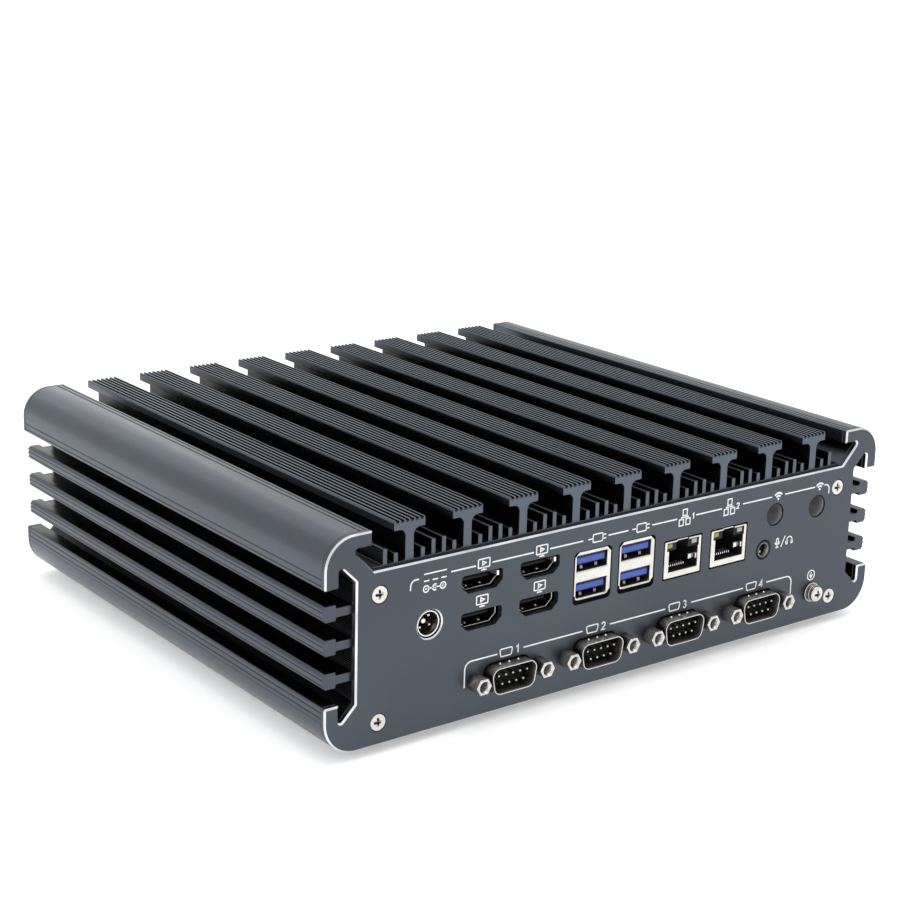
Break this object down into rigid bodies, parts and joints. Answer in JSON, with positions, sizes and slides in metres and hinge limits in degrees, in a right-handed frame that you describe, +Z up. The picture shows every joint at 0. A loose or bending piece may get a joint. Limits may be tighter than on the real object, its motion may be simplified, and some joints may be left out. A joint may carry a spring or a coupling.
{
  "type": "mini pc",
  "caption": "Fanless mini computer with a finned dark aluminium case, a port panel of video, data, network, serial, audio and power sockets, and a sprung power button.",
  "frame": {"origin": "middle of the object's footprint, on the surface that its rubber feet stand on", "axes": "+X to the right along the port panel, +Y from the port panel to the rear panel, +Z up"},
  "size_m": [0.2322, 0.2076, 0.0712],
  "materials": {
    "anodised_case": "dark slate anodised, fine satin",
    "bright_edge": "diamond-cut chamfer, bare and bright",
    "bright_nickel": "bright nickel plate",
    "socket_shell": "tin plated spring steel",
    "dark_nickel": "dull nickel plate",
    "black_plastic": "moulded, fine texture",
    "dark_plastic": "soft satin",
    "blue_plastic": "moulded, satin gloss",
    "white_print": "screen printed ink",
    "gold_contact": "gold flash",
    "amber_lamp": "tinted light guide",
    "clear_plastic": "clear light guide",
    "button_steel": "turned, fine brushed",
    "rubber": "matt",
    "circuit_board": "solder mask",
    "chip_black": "moulded, matt",
    "copper": "machined copper"
  },
  "bodies": {
    "case": {"io_panel": "anodised_case", "rear_panel": "anodised_case", "top_heatsink": "anodised_case", "left_side_heatsink": "anodised_case", "right_side_heatsink": "anodised_case", "bottom_cover": "anodised_case", "panel_screw_1": "bright_nickel", "panel_screw_2": "bright_nickel", "panel_screw_3": "bright_nickel", "panel_screw_4": "bright_nickel", "rubber_foot_1": "rubber", "rubber_foot_2": "rubber", "rubber_foot_3": "rubber", "rubber_foot_4": "rubber", "serial_shell_1": "dark_nickel", "serial_insert_1": "black_plastic", "serial_shell_2": "dark_nickel", "serial_insert_2": "black_plastic", "serial_shell_3": "dark_nickel", "serial_insert_3": "black_plastic", "serial_shell_4": "dark_nickel", "serial_insert_4": "black_plastic", "jackscrew_1": "bright_nickel", "jackscrew_2": "bright_nickel", "jackscrew_3": "bright_nickel", "jackscrew_4": "bright_nickel", "jackscrew_5": "bright_nickel", "jackscrew_6": "bright_nickel", "jackscrew_7": "bright_nickel", "jackscrew_8": "bright_nickel", "video_stack_shell_1": "socket_shell", "video_stack_insert_1": "black_plastic", "video_stack_shell_2": "socket_shell", "video_stack_insert_2": "black_plastic", "data_stack_shell_1": "socket_shell", "data_stack_insert_1": "blue_plastic", "data_stack_shell_2": "socket_shell", "data_stack_insert_2": "blue_plastic", "lan_shell_1": "socket_shell", "lan_insert_1": "black_plastic", "lan_shell_2": "socket_shell", "lan_insert_2": "black_plastic", "dc_jack_barrel": "bright_nickel", "dc_jack_core": "black_plastic", "audio_jack": "black_plastic", "antenna_plug_1": "dark_plastic", "antenna_plug_2": "dark_plastic", "ground_screw": "bright_nickel", "power_button_bezel": "button_steel", "power_switch_body": "black_plastic", "power_lamp": "clear_plastic", "motherboard": "circuit_board", "serial_board": "circuit_board", "memory_module": "circuit_board", "cpu": "chip_black", "ssd": "chip_black", "memory_socket": "chip_black", "heat_block": "copper", "coin_cell": "bright_nickel"},
    "button": {"power_button": "button_steel"}
  },
  "joints": [
    {"name": "power_button_press", "type": "slide", "parent": "case", "child": "button", "axis": [0, -1, 0], "range_m": [0, 0.0015], "stiffness_N_per_m": 800}
  ]
}
